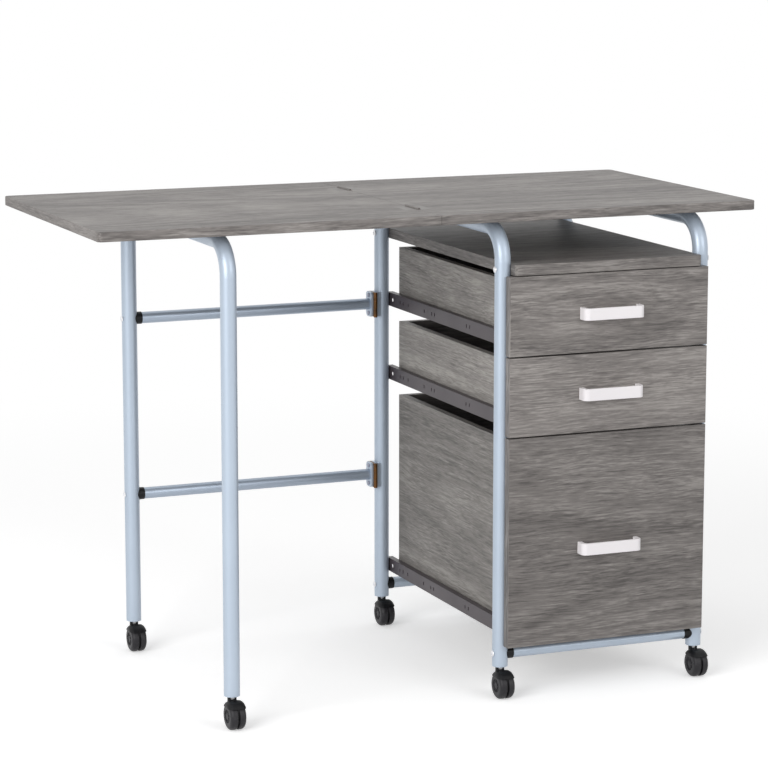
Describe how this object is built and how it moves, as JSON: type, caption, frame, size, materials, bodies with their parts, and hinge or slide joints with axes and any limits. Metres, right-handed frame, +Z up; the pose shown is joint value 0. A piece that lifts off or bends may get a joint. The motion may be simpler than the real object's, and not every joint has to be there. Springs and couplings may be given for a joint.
{
  "type": "folding desk",
  "caption": "Folding desk on casters: drawer unit between bent-tube frames, desk top whose left half folds over onto the right, leg frame that swings on hinges.",
  "frame": {"origin": "on the floor, under the middle of the whole outline", "axes": "+X along the desk towards the drawer unit, +Y from the front to the back, +Z up"},
  "size_m": [1.095, 0.5566, 0.7778],
  "materials": {
    "grey_board": "grey wood-grain laminate, satin",
    "grey_hardboard": "thin grey board, matt",
    "blue_tube": "pale blue-grey powder coat, satin",
    "black_plastic": "black moulded plastic",
    "wheel_plastic": "dark grey moulded plastic",
    "bright_screw": "zinc-plated steel",
    "slide_steel": "charcoal coated sheet steel",
    "black_nylon": "black nylon",
    "hinge_brass": "browned brass",
    "pale_steel": "pale coated steel",
    "grey_steel": "grey coated steel, toned to the board",
    "white_metal": "near-white satin coat"
  },
  "bodies": {
    "drawer_unit": {"fixed_top": "grey_board", "left_side_frame": "blue_tube", "right_side_frame": "blue_tube", "unit_caster_sockets": "black_plastic", "front_bottom_rail": "blue_tube", "rear_bottom_rail": "blue_tube", "rail_caps": "black_plastic", "post_bolts": "bright_screw", "top_fixing_screws": "bright_screw", "drawer_shelf": "grey_board", "left_slide_rails": "slide_steel", "right_slide_rails": "slide_steel", "slide_glides": "black_nylon", "slide_screws": "bright_screw", "post_hinge_pads": "pale_steel", "post_hinge_leaves": "hinge_brass", "post_hinge_screws": "bright_screw", "gate_hinge_pins": "hinge_brass", "top_hinge_fixed_plates": "grey_steel", "top_hinge_fixed_screws": "grey_steel", "top_hinge_pins": "grey_steel"},
    "leaf": {"folding_leaf": "grey_board", "top_hinge_leaf_plates": "grey_steel", "top_hinge_leaf_screws": "grey_steel"},
    "leg_gate": {"leg_frame": "blue_tube", "leg_caster_sockets": "black_plastic", "upper_gate_tube": "blue_tube", "lower_gate_tube": "blue_tube", "gate_caps": "black_plastic", "gate_bolts": "bright_screw", "gate_flanges": "pale_steel", "gate_hinge_leaves": "hinge_brass", "gate_hinge_screws": "bright_screw"},
    "bottom_drawer": {"bottom_drawer_front": "grey_board", "bottom_drawer_box": "grey_board", "bottom_drawer_bottom": "grey_hardboard", "bottom_drawer_handle": "white_metal", "bottom_drawer_runners": "slide_steel"},
    "middle_drawer": {"middle_drawer_front": "grey_board", "middle_drawer_box": "grey_board", "middle_drawer_bottom": "grey_hardboard", "middle_drawer_handle": "white_metal", "middle_drawer_runners": "slide_steel"},
    "top_drawer": {"top_drawer_front": "grey_board", "top_drawer_box": "grey_board", "top_drawer_bottom": "grey_hardboard", "top_drawer_handle": "white_metal", "top_drawer_runners": "slide_steel"},
    "left_front_caster": {"left_front_caster_hood": "black_plastic"},
    "left_front_wheel_pair": {"left_front_caster_wheels": "wheel_plastic"},
    "left_rear_caster": {"left_rear_caster_hood": "black_plastic"},
    "left_rear_wheel_pair": {"left_rear_caster_wheels": "wheel_plastic"},
    "right_front_caster": {"right_front_caster_hood": "black_plastic"},
    "right_front_wheel_pair": {"right_front_caster_wheels": "wheel_plastic"},
    "right_rear_caster": {"right_rear_caster_hood": "black_plastic"},
    "right_rear_wheel_pair": {"right_rear_caster_wheels": "wheel_plastic"},
    "leg_front_caster": {"leg_front_caster_hood": "black_plastic"},
    "leg_front_wheel_pair": {"leg_front_caster_wheels": "wheel_plastic"},
    "leg_rear_caster": {"leg_rear_caster_hood": "black_plastic"},
    "leg_rear_wheel_pair": {"leg_rear_caster_wheels": "wheel_plastic"}
  },
  "joints": [
    {"name": "leaf_fold", "type": "hinge", "parent": "drawer_unit", "child": "leaf", "pos_m": [0, 0, 0.7753], "axis": [0, 1, 0], "range_deg": [0, 180]},
    {"name": "leg_frame_swing", "type": "hinge", "parent": "drawer_unit", "child": "leg_gate", "pos_m": [0.0907, 0.2495, 0.4155], "axis": [0, 0, 1], "range_deg": [0, 40]},
    {"name": "bottom_drawer_slide", "type": "slide", "parent": "drawer_unit", "child": "bottom_drawer", "axis": [0, -1, 0], "range_m": [0, 0.34]},
    {"name": "middle_drawer_slide", "type": "slide", "parent": "drawer_unit", "child": "middle_drawer", "axis": [0, -1, 0], "range_m": [0, 0.34]},
    {"name": "top_drawer_slide", "type": "slide", "parent": "drawer_unit", "child": "top_drawer", "axis": [0, -1, 0], "range_m": [0, 0.34]},
    {"name": "left_front_swivel", "type": "hinge", "parent": "drawer_unit", "child": "left_front_caster", "pos_m": [0.1085, -0.22925, 0.05], "axis": [0, 0, 1], "continuous": true},
    {"name": "left_front_roll", "type": "hinge", "parent": "left_front_caster", "child": "left_front_wheel_pair", "pos_m": [0.1085, -0.24225, 0.0215], "axis": [1, 0, 0], "continuous": true},
    {"name": "left_rear_swivel", "type": "hinge", "parent": "drawer_unit", "child": "left_rear_caster", "pos_m": [0.1085, 0.26575, 0.05], "axis": [0, 0, 1], "continuous": true},
    {"name": "left_rear_roll", "type": "hinge", "parent": "left_rear_caster", "child": "left_rear_wheel_pair", "pos_m": [0.1085, 0.25275, 0.0215], "axis": [1, 0, 0], "continuous": true},
    {"name": "right_front_swivel", "type": "hinge", "parent": "drawer_unit", "child": "right_front_caster", "pos_m": [0.4545, -0.22925, 0.05], "axis": [0, 0, 1], "continuous": true},
    {"name": "right_front_roll", "type": "hinge", "parent": "right_front_caster", "child": "right_front_wheel_pair", "pos_m": [0.4545, -0.24225, 0.0215], "axis": [1, 0, 0], "continuous": true},
    {"name": "right_rear_swivel", "type": "hinge", "parent": "drawer_unit", "child": "right_rear_caster", "pos_m": [0.4545, 0.26575, 0.05], "axis": [0, 0, 1], "continuous": true},
    {"name": "right_rear_roll", "type": "hinge", "parent": "right_rear_caster", "child": "right_rear_wheel_pair", "pos_m": [0.4545, 0.25275, 0.0215], "axis": [1, 0, 0], "continuous": true},
    {"name": "leg_front_swivel", "type": "hinge", "parent": "leg_gate", "child": "leg_front_caster", "pos_m": [-0.3425, -0.22925, 0.05], "axis": [0, 0, 1], "continuous": true},
    {"name": "leg_front_roll", "type": "hinge", "parent": "leg_front_caster", "child": "leg_front_wheel_pair", "pos_m": [-0.3425, -0.24225, 0.0215], "axis": [1, 0, 0], "continuous": true},
    {"name": "leg_rear_swivel", "type": "hinge", "parent": "leg_gate", "child": "leg_rear_caster", "pos_m": [-0.3425, 0.26575, 0.05], "axis": [0, 0, 1], "continuous": true},
    {"name": "leg_rear_roll", "type": "hinge", "parent": "leg_rear_caster", "child": "leg_rear_wheel_pair", "pos_m": [-0.3425, 0.25275, 0.0215], "axis": [1, 0, 0], "continuous": true}
  ]
}
